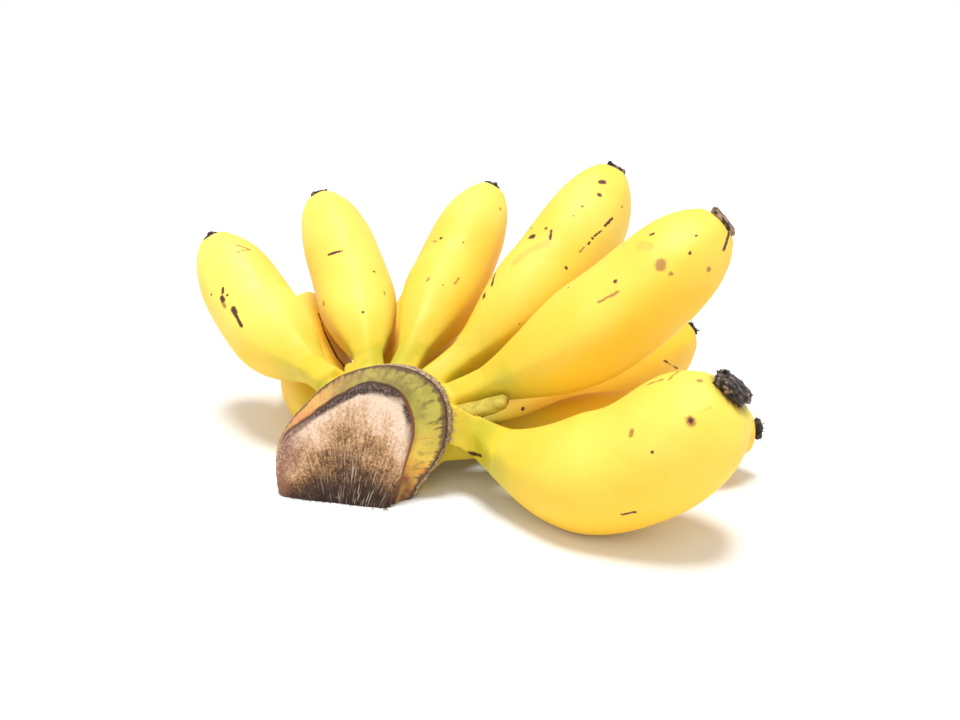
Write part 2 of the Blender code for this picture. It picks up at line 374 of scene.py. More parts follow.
fingerMesh = {
    "around": 60, "rings": 124, "steps": 120,
    "ridges": 5, "ridgeDepth": 0.024, "neckRidges": 0.12, "endRidges": 0.05,
    "collar": 0.5,                # mm that the end swells round the dried flower
    "lumps": 0.35,                # mm of unevenness
    "hidden": 0.62,               # width of the neck inside the crown's skin
    "sunken": 2.0,                # mm that it starts deeper than the crown's skin
}


def radiusAt(fruit, share):
    swell = max(0.0, share - girth["neckEnd"]) / (girth["bellyStart"] - girth["neckEnd"])
    neck = girth["neck"] + (1.0 - girth["neck"]) * smooth(swell ** girth["swell"])
    towardsEnd = min(1.0, max(0.0, share - girth["shoulder"]) / (1.0 - girth["shoulder"]))
    blunt = fruit.get("blunt", girth["blunt"])
    rounding = math.sqrt(1.0 - girth["endRounding"] * towardsEnd ** blunt)
    return fruit["thickness"] / 2.0 * neck * rounding


def headingAt(fruit, share):
    turned = smooth((share - girth["bendStart"]) / (girth["bendEnd"] - girth["bendStart"]))
    return heading(*fruit["neck"]).slerp(heading(*fruit["end"]), turned)


def walkLine(fruit):
    # the centre line as (point, forward, up) frames that turn with it and don't twist
    steps = fingerMesh["steps"]
    seat = math.radians(fruit["seat"])
    point = Vector((hand["centre"][0] + hand["seatRadius"] * math.cos(seat),
                    hand["centre"][1] + hand["seatRadius"] * math.sin(seat),
                    fruit["height"] - fruit.get("drop", 0.0)))
    forward = headingAt(fruit, 0.0)
    up = (Vector((0, 0, 1)) - forward * forward.z).normalized()
    line = [(point.copy(), forward, up)]
    for index in range(steps):
        onward = headingAt(fruit, (index + 0.5) / steps)
        point = point + onward * fruit["length"] / steps
        ahead = headingAt(fruit, (index + 1) / steps)
        up = (forward.rotation_difference(ahead) @ up).normalized()
        forward = ahead
        line.append((point.copy(), forward, up))
    return line


def ridgeAt(angle):
    # 1 on one of the ridges that run along a fruit, 0 midway between two
    turn = math.pi / fingerMesh["ridges"]
    off = (angle + turn) % (2 * turn) - turn
    pentagon = (math.cos(turn) / math.cos(turn - abs(off)) - math.cos(turn)) / (
        1.0 - math.cos(turn))
    return 0.5 * pentagon + 0.25 * (1.0 + math.cos(off * fingerMesh["ridges"]))


def skinPoint(fruit, line, share, angle, factor=1.0):
    # a point of the peel at this share of the length and this angle from the top
    steps = len(line) - 1
    index = min(steps - 1, max(0, int(share * steps)))
    fraction = share * steps - index
    first, second = line[index], line[index + 1]
    centre = first[0] + (second[0] - first[0]) * fraction
    forward = first[1].lerp(second[1], min(1.0, max(0.0, fraction))).normalized()
    up = first[2].lerp(second[2], min(1.0, max(0.0, fraction))).normalized()
    outward = up * math.cos(angle) + forward.cross(up) * math.sin(angle)
    depth = fingerMesh["ridgeDepth"]
    depth += fingerMesh["neckRidges"] * (1.0 - smooth(share / 0.38))
    depth += fingerMesh["endRidges"] * smooth((share - 0.72) / 0.25)
    radius = radiusAt(fruit, share) * (1.0 - depth * (1.0 - ridgeAt(angle)))
    radius += fingerMesh["collar"] * math.exp(-((share - 0.985) / 0.012) ** 2)
    place = centre + outward * radius
    fade = smooth((share - 0.12) / 0.2)
    lumps = wobble(place, 26.0, fruit["seat"]) + 0.35 * wobble(place, 9.0, fruit["seat"])
    return centre + outward * (radius + fingerMesh["lumps"] * lumps * fade) * factor


def sweepFruit(bm, fruit, line, around, rings, shareAt, factorAt, plane):
    # a sphere whose rings are laid along the centre line
    made = bmesh.ops.create_uvsphere(bm, u_segments=around, v_segments=rings, radius=1.0)
    places = []
    for vert in made["verts"]:
        along = 1.0 - math.acos(min(1.0, max(-1.0, vert.co.z))) / math.pi
        angle = math.atan2(vert.co.y, vert.co.x)
        share = shareAt(along)
        place = skinPoint(fruit, line, share, angle, factorAt(along, share))
        vert.co = behindRim(place, share / fruit.get("pressed", girth["pressed"]), plane)
        places.append((vert, share, angle))
    return places


def behindRim(point, part, plane):
    # a neck leaves the crown from behind the rim: its first part is pressed back there
    pressed = 1.0 - smooth(part)
    return point + crownBack * max(0.0, plane - faceDepth(point)) * pressed


def fingerShare(along):
    # rings lie closer together towards the blunt end
    return (1.0 + rootShare) * (1.0 - (1.0 - along) ** 1.5) - rootShare


def fingerFactor(along, share):
    # thin inside the crown's skin, and closed at both ends
    closing = max(0.0, (along - 0.972) / 0.028)
    hidden = fingerMesh["hidden"] + (1.0 - fingerMesh["hidden"]) * smooth(share / 0.12)
    return math.sqrt(max(0.0, 1.0 - closing * closing)) * min(hidden, along / 0.02)


def restOnTable(bm, fruit):
    # lower a resting fruit until the table flattens its belly a little
    drop = min(vert.co.z for vert in bm.verts) + hand["tableDent"]
    for vert in bm.verts:
        vert.co.z = max(0.0, vert.co.z - drop)
    fruit["drop"] = drop


def makeFinger(key, fruit):
    bm = bmesh.new()
    shareLayer = bm.verts.layers.float.new("share")
    ridgeLayer = bm.verts.layers.float.new("ridge")
    undersideShadeLayer = bm.verts.layers.float.new("underside_shade")
    line = walkLine(fruit)
    places = sweepFruit(bm, fruit, line, fingerMesh["around"], fingerMesh["rings"],
                        fingerShare, fingerFactor, rimPlane + fingerMesh["sunken"])
    for vert, share, angle in places:
        vert[shareLayer] = share
        vert[ridgeLayer] = max(0.0, ridgeAt(angle)) ** 3
    if fruit.get("rests"):
        restOnTable(bm, fruit)
    fruit["line"] = walkLine(fruit)
    bmesh.ops.recalc_face_normals(bm, faces=bm.faces)
    bm.normal_update()
    # painted shade: how far each point faces down, from 0 on top to 1 underneath; the peel turns
    # golden there
    for vert in bm.verts:                      # 0 on top to 1 underneath
        vert[undersideShadeLayer] = smooth((0.60 - vert.normal.z) / 1.2)
    bmesh.ops.scale(bm, verts=bm.verts, vec=(mm, mm, mm))
    finger = linkPiece("banana_" + key, bm, "ripe_peel", "finger_" + key)
    finger.data.materials.append(makePeel(key, fruit))


# Marks on the peel: (kind, share, angle, share, angle, width in mm). The angle counts
# from the top of the fruit.
marks = {
    "upper_1": (("brown", 0.855, -2, 0.815, 14, 0.6), ("brown", 0.815, 14, 0.814, -8, 0.6),
                ("dark", 0.679, -52, 0.660, -56, 0.7), ("dark", 0.642, -61, 0.632, -61, 1.5),
                ("dark", 0.634, -52, 0.633, -52, 0.7), ("dark", 0.703, -73, 0.702, -73, 0.6),
                ("brown", 0.625, -64, 0.596, -64, 1.0), ("dark", 0.549, -56, 0.520, -57, 1.5),
                ("dark", 0.510, -58, 0.440, -62, 0.9), ("brown", 0.52, 160, 0.60, 168, 0.7)),
    "upper_2": (("dark", 0.644, -32, 0.634, -16, 0.8), ("dark", 0.501, 28, 0.500, 27, 0.8),
                ("dark", 0.264, -3, 0.263, -3, 0.8), ("brown", 0.437, -68, 0.429, -69, 1.0),
                ("brown", 0.399, 41, 0.389, 42, 0.6), ("dark", 0.70, 150, 0.74, 158, 0.8),
                ("brown", 0.46, -160, 0.47, -150, 1.6)),
    "upper_3": (("dark", 0.615, -14, 0.613, -13, 0.9), ("brown", 0.606, -28, 0.599, -19, 0.5),
                ("dark", 0.615, 22, 0.614, 22, 0.5), ("brown", 0.375, -4, 0.384, -3, 0.8),
                ("brown", 0.405, 38, 0.438, 39, 0.5), ("dark", 0.373, 22, 0.372, 22, 0.4),
                ("brown", 0.875, 58, 0.870, 59, 0.8), ("dark", 0.58, 170, 0.64, 178, 0.7)),
    "upper_4": (("dark", 0.887, 35, 0.893, 39, 1.4), ("dark", 0.835, 43, 0.834, 44, 1.1),
                ("dark", 0.761, 32, 0.760, 32, 0.6), ("dark", 0.850, 82, 0.849, 82, 0.6),
                ("dark", 0.626, -20, 0.625, -20, 0.8), ("dark", 0.625, 8, 0.624, 8, 0.8),
                ("dark", 0.577, -5, 0.578, -2, 1.5), ("dark", 0.624, 16, 0.589, 22, 0.6),
                ("dark", 0.784, 74, 0.745, 70, 0.7), ("dark", 0.721, 69, 0.689, 65, 0.4),
                ("dark", 0.680, 64, 0.679, 64, 0.7), ("dark", 0.661, 64, 0.653, 64, 0.6),
                ("brown", 0.635, 62, 0.610, 61, 0.5), ("dark", 0.536, 59, 0.535, 60, 0.8),
                ("dark", 0.400, -26, 0.345, -12, 0.8), ("dark", 0.440, -34, 0.420, -32, 0.5),
                ("dark", 0.370, -40, 0.352, -41, 0.6), ("dark", 0.310, -21, 0.299, -16, 1.2),
                ("pale", 0.449, 2, 0.510, 8, 2.2), ("pale", 0.521, 10, 0.568, 21, 2.0),
                ("brown", 0.55, -150, 0.60, -146, 0.8)),
    "upper_5": (("dark", 0.806, 22, 0.814, 23, 0.6), ("dark", 0.895, 64, 0.894, 64, 0.6),
                ("dark", 0.843, 74, 0.842, 74, 0.7), ("pale", 0.761, 26, 0.771, 35, 2.4),
                ("brown", 0.760, 61, 0.754, 63, 2.4), ("dark", 0.628, 43, 0.627, 43, 1.0),
                ("brown", 0.550, 51, 0.613, 55, 0.7), ("dark", 0.501, 7, 0.500, 7, 0.4),
                ("brown", 0.761, 76, 0.760, 76, 1.0), ("brown", 0.856, 106, 0.855, 107, 1.2),
                ("dark", 0.985, 110, 0.933, 111, 0.9), ("dark", 0.66, -140, 0.70, -132, 0.9)),
    "upper_6": (("dark", 0.912, 75, 0.911, 76, 1.0), ("brown", 0.912, 75, 0.910, 77, 1.8),
                ("brown", 0.745, 49, 0.737, 52, 1.0), ("pale", 0.905, 70, 0.966, 79, 0.6),
                ("brown", 0.851, 7, 0.900, 10, 0.6), ("brown", 0.917, 14, 0.943, -2, 0.6),
                ("pale", 0.569, 10, 0.635, 1, 0.5), ("brown", 0.978, 26, 0.981, 27, 1.0),
                ("dark", 0.582, 114, 0.617, 116, 0.6),
                ("dark", 0.770, 75, 0.769, 75, 0.6), ("brown", 0.60, -120, 0.64, -112, 1.0)),
    # the first four dark strokes on lower_1 are painted shadow, the dark line where upper_1 and
    # upper_2 lie against it
    "lower_1": (("dark", 0.78, 12, 0.649, 17, 0.4), ("dark", 0.649, 17, 0.549, 25, 0.6),
                ("dark", 0.549, 25, 0.470, 32, 0.8), ("dark", 0.470, 32, 0.429, 45, 0.9),
                ("brown", 0.50, -70, 0.56, -64, 0.9), ("dark", 0.72, -110, 0.74, -104, 0.8)),
    "lower_2": (("dark", 0.60, 160, 0.66, 168, 0.8), ("brown", 0.80, 40, 0.80, 52, 1.6)),
    "lower_3": (("dark", 0.70, -20, 0.76, -14, 0.8), ("brown", 0.55, 100, 0.60, 104, 1.0)),
    "lower_4": (("dark", 0.806, 73, 0.849, 99, 0.5), ("dark", 0.252, 57, 0.251, 58, 0.9)),
    "lower_5": (("brown", 0.90, 40, 0.95, 52, 1.0), ("dark", 0.52, -30, 0.58, -26, 0.8)),
}

markSpread = 1.3              # how much wider a mark is drawn, as its edge is ragged
# each kind's border colour and middle colour, with how much each covers
markLook = {
    "pale": {"border": (0.66, 0.42, 0.07), "middle": (0.55, 0.33, 0.06), "cover": (0.22, 0.22)},
    "brown": {"border": (0.64, 0.32, 0.045), "middle": (0.34, 0.13, 0.025),
              "cover": (0.50, 0.70)},
    "dark": {"border": (0.42, 0.13, 0.022), "middle": (0.050, 0.017, 0.008),
             "cover": (0.80, 0.95)},
}


def makePeel(key, fruit):
    material, tree, shader = newMaterial(
        "ripePeel_" + key, Specular_IOR_Level=0.52, Subsurface_Weight=0.18,
        Subsurface_Radius=(1.0, 0.45, 0.06), Subsurface_Scale=0.004)
    place = placeInMm(tree)
    seed = Vector((fruit["seat"] * 3.1, fruit["length"] * 2.3, fruit["height"] * 7.9))
    peel = placeGroup(tree, peelGroup, {"Place": place, "Seed": seed,
                                        "Ridge": attribute(tree, "ridge"),
                                        "Warmth": fruit["warmth"],
                                        "UndersideShade": attribute(tree, "underside_shade")})
    colour, height = peel["Colour"], peel["Height"]
    raw = addNode(tree, "ShaderNodeTexNoise", {"Vector": place, "Scale": 1.3,
                                               "Detail": 2.0}).outputs["Color"]
    ragged = vectorMaths(tree, "SUBTRACT", raw, (0.5, 0.5, 0.5))
    ragged = vectorMaths(tree, "ADD", place, vectorMaths(tree, "MULTIPLY", ragged, (0.9, 0.9, 0.9)))
    for kind, look in markLook.items():
        mask = 0.0
        for markKind, share, angle, toShare, toAngle, width in marks[key]:
            if markKind == kind:
                start = skinPoint(fruit, fruit["line"], share, math.radians(angle))
                stop = skinPoint(fruit, fruit["line"], toShare, math.radians(toAngle))
                mask = placeGroup(tree, strokeGroup, {
                    "Place": ragged, "Start": start, "End": stop,
                    "Width": width * markSpread, "Before": mask})["Mask"]
        if mask == 0.0:
            continue
        border = span(tree, mask, 0.05, 0.55, 0.0, look["cover"][0])
        middle = span(tree, mask, 0.45, 0.90, 0.0, look["cover"][1])
        colour = blendColours(tree, border, colour, look["border"])
        colour = blendColours(tree, middle, colour, look["middle"])
        if kind == "dark":
            height = maths(tree, "SUBTRACT", height, maths(tree, "MULTIPLY", mask, 0.3))
    # the last few millimetres turn dull and brown under the dried flower
    share = attribute(tree, "share")
    ragged = maths(tree, "MULTIPLY", noiseOf(tree, place, 0.6, 4.0), 0.016)
    singed = span(tree, maths(tree, "ADD", share, ragged), 0.998, 1.012)
    colour = blendColours(tree, maths(tree, "MULTIPLY", singed, 0.75), colour,
                          peelLook["singed"])
    tree.links.new(colour, shader.inputs["Base Color"])
    tree.links.new(peel["Roughness"], shader.inputs["Roughness"])
    addBump(tree, shader, height, 0.35, 0.0006)
    return material


for key, fruit in fruits.items():
    makeFinger(key, fruit)
print("fruits made:", len(fruits))


# The crown

crownShape = {
    "corners": 96, "square": 2.3,
    "voxel": 0.5,                 # mm between the points of its skin
    "webbing": 22,                # rounds of smoothing between the necks
    "evening": 2,                 # rounds of smoothing all over
    "fringe": 44,                 # dry fibres at the foot
    "webReach": 0.12,             # how far a web goes, in shares of a fruit
    "sleeveWidth": 1.12, "sleeveTaper": 0.20, "taperStart": 0.06, "taperLength": 0.11,
}

# outlines of the cut face: radii in mm round its middle, every 15 degrees from the right
faceMiddle = (-7.0, 18.0)
faceOutlines = {
    "scar": (20.7, 22.6, 23.9, 24.2, 22.4, 19.8, 16.2, 14.4, 13.4, 13.6, 14.3, 16.8,
             20.9, 24.0, 26.2, 27.8, 27.0, 26.2, 25.4, 24.6, 23.8, 22.8, 20.9, 20.1),
    "band": (30.0, 32.1, 33.1, 30.9, 27.2, 23.6, 20.9, 19.2, 18.1, 17.6, 18.0, 19.9,
             22.8, 26.4, 29.1, 30.8, 30.2, 29.7, 29.1, 28.6, 28.0, 27.0, 25.6, 27.3),
    "rim": (31.0, 33.1, 33.9, 31.4, 27.2, 23.2, 20.4, 18.8, 17.9, 17.5, 17.9, 19.8,
            22.7, 26.6, 29.4, 31.0, 30.4, 29.9, 29.4, 28.9, 28.4, 27.9, 27.0, 28.4),
}
# depth, outline and its scale, all leaning with the face
faceSections = (
    (-1.5, "scar", 0.80), (-0.8, "scar", 0.95), (0.5, "scar", 0.985), (1.6, "scar", 1.0),
    (5.6, "band", 1.0), (8.0, "rim", 1.0), (10.0, "rim", 0.955),
)
# depth, shift, middle, half width, half height, shear and lean of each section behind
bodySections = (
    (19.0, -0.4, 18.0, 26.0, 18.2, 0.18, 0),
    (27.0, 0.3, 19.4, 24.0, 17.0, 0.12, -4),
    (33.0, 0.3, 20.5, 20.0, 14.5, 0.06, -6),
    (37.0, 0.3, 21.0, 12.5, 10.0, 0.00, -6),
    (38.6, 0.3, 21.0, 5.5, 4.5, 0.00, -6),
)
# short roots that fill the gap between two necks
crownWebs = (
    {"seat": -2, "height": 23.6, "neck": (-19, -15), "end": (-26, -44), "thickness": 27.0},
    {"seat": 118, "height": 29.5, "neck": (112, 15), "end": (112, 18), "thickness": 26.5},
    {"seat": 93, "height": 24.0, "neck": (88, 4), "end": (88, 10), "thickness": 26.0},
    {"seat": 67, "height": 24.0, "neck": (62, 4), "end": (62, 10), "thickness": 26.0},
)


def faceRadius(outline, angle):
    # the outline's radius at this angle, along a smooth closed curve through its numbers
    radii = faceOutlines[outline]
    count = len(radii)
    place = (angle / math.tau % 1.0) * count
    index, share = int(place) % count, place - int(place)
    before, first, second, after = (radii[(index + step) % count] for step in (-1, 0, 1, 2))
    return first + 0.5 * share * (second - before + share * (
        2.0 * before - 5.0 * first + 4.0 * second - after
        + share * (3.0 * (first - second) + after - before)))


def faceShare(outline, sideways, height):
    # 1 on the outline, less inside it
    across, above = sideways - faceMiddle[0], height - faceMiddle[1]
    return math.hypot(across, above) / faceRadius(outline, math.atan2(above, across))


def onCrown(sideways, height, depth, lean):
    return (crownFoot + crownRight * sideways + Vector((0.0, 0.0, height))
            + crownBack * (depth + height * math.tan(math.radians(lean))))


def facePoint(section, angle):
    depth, outline, scale = section
    radius = faceRadius(outline, angle) * scale
    return onCrown(faceMiddle[0] + radius * math.cos(angle),
                   faceMiddle[1] + radius * math.sin(angle), depth, crownFace["lean"])


def bodyPoint(section, angle):
    depth, shift, middle, halfWidth, halfHeight, shear, lean = section
    power = 2.0 / crownShape["square"]
    across = math.copysign(abs(math.cos(angle)) ** power, math.cos(angle))
    above = halfHeight * math.copysign(abs(math.sin(angle)) ** power, math.sin(angle))
    return onCrown(shift + halfWidth * across + shear * above, middle + above, depth, lean)


def crownPlaces(point):
    # where a point (mm) is on the crown: across, up, share of the scar and of the band,
    # depth, how far round clockwise from the foot, and share of the rim
    sideways, height = (point - crownFoot).dot(crownRight), point.z
    depth = faceDepth(point)
    scar = faceShare("scar", sideways, height)
    outer = faceShare("band", sideways, height)
    band = 0.0 if scar <= 1.0 else (scar - 1.0) / max(0.001, scar - 1.0 + max(0.0, 1.0 - outer))
    clock = math.atan2(faceMiddle[0] - sideways, faceMiddle[1] - height) / math.tau % 1.0
    # over 1 where a neck stands out past the crown's own outline near the rim
    out = faceShare("rim", sideways, height)
    return sideways, height, scar, band, depth, clock, out


def remeshed(bm, voxel):
    # one closed skin round everything in the bmesh
    mesh = bpy.data.meshes.new("draft")
    bm.to_mesh(mesh)
    bm.free()
    draft = bpy.data.objects.new("draft", mesh)
    bpy.context.scene.collection.objects.link(draft)
    skin = draft.modifiers.new("skin", "REMESH")
    skin.mode = "VOXEL"
    skin.voxel_size = voxel
    result = bmesh.new()
    result.from_object(draft, bpy.context.evaluated_depsgraph_get())
    bpy.data.objects.remove(draft, do_unlink=True)
    bpy.data.meshes.remove(mesh)
    return result


def addRoot(bm, fruit, sleeve, tapered=False):
    # the crown's skin over the start of a neck, up to this share of the fruit
    shape = crownShape
    stretch = max(1.0, sleeve / girth["sleeve"])

    def factorAt(along, share):
        narrowed = smooth((share / stretch - shape["taperStart"]) / shape["taperLength"])
        factor = shape["sleeveWidth"] - shape["sleeveTaper"] * narrowed
        factor *= min(1.0, along / 0.05, (1.0 - along) / 0.10)
        return factor * (1.0 - along ** 2 if tapered else 1.0)

    sweepFruit(bm, fruit, walkLine(fruit), 40, 30,
               lambda along: along * (sleeve + rootShare) - rootShare, factorAt, rimPlane)


def soften(bm, verts, rounds):
    for _ in range(rounds):
        bmesh.ops.smooth_vert(bm, verts=verts, factor=0.5, use_axis_x=True,
                              use_axis_y=True, use_axis_z=True)


def makeCrown():
    bm = bmesh.new()
    rings = []
    for section in faceSections + bodySections:
        made = bmesh.ops.create_circle(bm, segments=crownShape["corners"], radius=1.0)
        pointAt = facePoint if section in faceSections else bodyPoint
        for vert in made["verts"]:
            vert.co = pointAt(section, math.atan2(vert.co.y, vert.co.x))
        rings.append(list({edge for vert in made["verts"] for edge in vert.link_edges}))
    for near, far in zip(rings, rings[1:]):
        bmesh.ops.bridge_loops(bm, edges=near + far)
    bmesh.ops.edgeloop_fill(bm, edges=rings[0])
    bmesh.ops.edgeloop_fill(bm, edges=rings[-1])
    for fruit in fruits.values():
        addRoot(bm, fruit, fruit.get("sleeve", girth["sleeve"]))
    for web in crownWebs:
        addRoot(bm, dict(web, length=hand["usualLength"]), crownShape["webReach"], tapered=True)
    bmesh.ops.recalc_face_normals(bm, faces=bm.faces)
    bmesh.ops.scale(bm, verts=bm.verts, vec=(mm, mm, mm))
    bm = remeshed(bm, crownShape["voxel"] * mm)
    bmesh.ops.bisect_plane(bm, geom=bm.verts[:] + bm.edges[:] + bm.faces[:],
                           plane_co=(0, 0, 0.00002), plane_no=(0, 0, 1), clear_inner=True)
    bmesh.ops.holes_fill(bm, edges=[edge for edge in bm.edges if edge.is_boundary])
    necks = [vert for vert in bm.verts if crownPlaces(vert.co / mm)[4] > 10.5]
    soften(bm, necks, crownShape["webbing"])
    soften(bm, bm.verts, crownShape["evening"])
    bmesh.ops.recalc_face_normals(bm, faces=bm.faces)
    bm.normal_update()
    roughenCrown(bm)
    addFringe(bm)
    crown = linkPiece("crown_cut", bm, "crown_cut_surface", "crown")
    crown.data.materials.append(makeCrownMaterial())


# how far each kind of relief moves the skin, in mm
crownRelief = {
    "grooves": 0.30, "grains": 0.13, "swellings": 0.40, "foot": 0.9, "edge": 0.35,
    "streaks": 0.14, "waves": 0.35, "furrow": 0.45, "crumbs": 0.15, "cork": 0.5,
}


def roughenCrown(bm):
    # fibres and grains on the scar, a crumbly rim, and the values the material reads
    layers = {name: bm.verts.layers.float.new(name)
              for name in ("scar", "band", "depth", "clock", "across", "up", "out", "underside_shade")}
    relief = crownRelief
    moves = []
    for vert in bm.verts:
        point = vert.co / mm
        sideways, height, scar, band, depth, clock, out = crownPlaces(point)
        # the last value says how far the skin faces down, for painted shade on the yellow body
        for name, value in (("scar", scar), ("band", band), ("depth", depth), ("clock", clock),
                            ("across", sideways), ("up", height), ("out", out),
                            ("underside_shade", smooth((0.60 - vert.normal.z) / 1.2))):
            vert[layers[name]] = value
        push = 0.0
        facing = -vert.normal.dot(crownBack)
        if depth < 3.0 and facing > 0.5 and scar < 1.04:
            low = 1.0 - smooth((height - 6.0) / 16.0)
            fan = (sideways + 6.0) / (height + 24.0)
            grooves = wobble(Vector((fan * 70.0, height * 0.16, 3.0)), 1.6)
            grains = wobble(point, 1.1) + 0.7 * wobble(point, 0.55)
            swellings = wobble(point, 9.0, 4.0) + 0.5 * wobble(point, 4.0, 8.0)
            push = (relief["grooves"] * grooves * low + relief["grains"] * grains
                    + relief["swellings"] * swellings)
            push += relief["foot"] * (1.0 - smooth(height / 9.0))
            push += relief["edge"] * math.exp(-((scar - 0.95) / 0.04) ** 2)
        elif band > 0.0 and depth < 6.4 and facing > 0.2:
            streaks = wobble(Vector((clock * 420.0, band * 3.0, 0.0)), 4.0)
            push = relief["streaks"] * streaks + relief["waves"] * wobble(point, 7.0, 9.0)
            push -= relief["furrow"] * math.exp(-((band - 0.10) / 0.08) ** 2)
        if 5.2 < depth < 9.6 and band > 0.9 and out < 1.06:
            crumbs = abs(wobble(point, 1.5, 2.0)) + 0.7 * abs(wobble(point, 0.8, 5.0))
            corky = smooth((clock - 0.55) / 0.1)
            push += ((relief["crumbs"] + relief["cork"] * corky) * crumbs
                     * smooth((9.6 - depth) / 2.0))
        moves.append((vert, vert.co + vert.normal * push * mm))
    for vert, place in moves:
        vert.co = Vector((place.x, place.y, max(0.0, place.z)))


def addFringe(bm):
    # dry fibres that hang from the foot of the scar
    draw = random.Random(5)
    across = bm.verts.layers.float["across"]
    for _ in range(crownShape["fringe"]):
        sideways = draw.uniform(-26.0, 8.0)
        reach = draw.uniform(1.4, 3.6)
        strand = bmesh.ops.create_cone(bm, cap_ends=True, segments=5,
                                       radius1=draw.uniform(0.12, 0.26), radius2=0.03,
                                       depth=reach)["verts"]
        lean, yaw = draw.uniform(0.7, 1.5), draw.uniform(-1.0, 1.0)
        foot = crownFoot + crownRight * sideways - crownBack * 1.2
        foot.z = draw.uniform(0.6, 2.4)
        ahead = (-crownBack * math.cos(yaw) + crownRight * math.sin(yaw)) * math.sin(lean)
        ahead.z = math.cos(lean) - 0.4
        turn = ahead.to_track_quat("Z", "Y").to_matrix()
        for vert in strand:
            rise = vert.co.z + reach / 2
            place = foot + turn @ Vector((vert.co.x, vert.co.y, rise))
            place.z = max(0.08 + 0.3 * abs(vert.co.x), place.z - 0.12 * rise * rise)
            vert.co = place * mm
            vert[across] = sideways * 0.3


scarLook = {
    "side": (0.30, 0.13, 0.075), "strand": (0.62, 0.47, 0.33), "crest": (0.045, 0.020, 0.018),
    "edge": (0.07, 0.028, 0.016), "redEdge": (0.24, 0.075, 0.040),
}
bandLook = {
    "cloud": (0.70, 0.60, 0.12), "streak": (0.17, 0.115, 0.035), "outer": (0.12, 0.06, 0.035),
}
corkLook = {"dark": (0.22, 0.13, 0.075), "pale": (0.56, 0.42, 0.26)}
# the scar from its foot upwards
scarStops = (
    (0.00, (0.030, 0.015, 0.010)), (0.22, (0.080, 0.038, 0.020)), (0.40, (0.23, 0.115, 0.048)),
    (0.56, (0.47, 0.265, 0.12)), (0.70, (0.66, 0.41, 0.23)), (0.85, (0.80, 0.54, 0.36)),
    (1.00, (0.93, 0.71, 0.55)),
)
# scratches on the neck roots: from, to (in mm) and width
crownMarks = (
    ((0.7, -42.4, 14.9), (1.2, -43.1, 15.8), 1.1), ((1.2, -43.1, 15.8), (3.0, -45.3, 16.6), 1.3),
    ((3.0, -45.3, 16.6), (4.9, -48.8, 17.7), 1.0),
)
# the band round the scar, clockwise from the foot
bandStops = (
    (0.00, (0.06, 0.025, 0.015)), (0.13, (0.11, 0.045, 0.025)), (0.165, (0.66, 0.24, 0.07)),
    (0.215, (0.68, 0.25, 0.08)), (0.24, (0.40, 0.12, 0.06)), (0.28, (0.78, 0.29, 0.11)),
    (0.36, (0.82, 0.37, 0.12)), (0.43, (0.68, 0.34, 0.11)), (0.48, (0.42, 0.25, 0.075)),
    (0.54, (0.33, 0.23, 0.06)), (0.61, (0.26, 0.20, 0.045)), (0.66, (0.42, 0.37, 0.065)),
    (0.72, (0.60, 0.48, 0.075)), (0.77, (0.93, 0.62, 0.09)), (0.812, (0.88, 0.34, 0.04)),
    (0.842, (0.26, 0.065, 0.022)), (1.00, (0.06, 0.025, 0.015)),
)


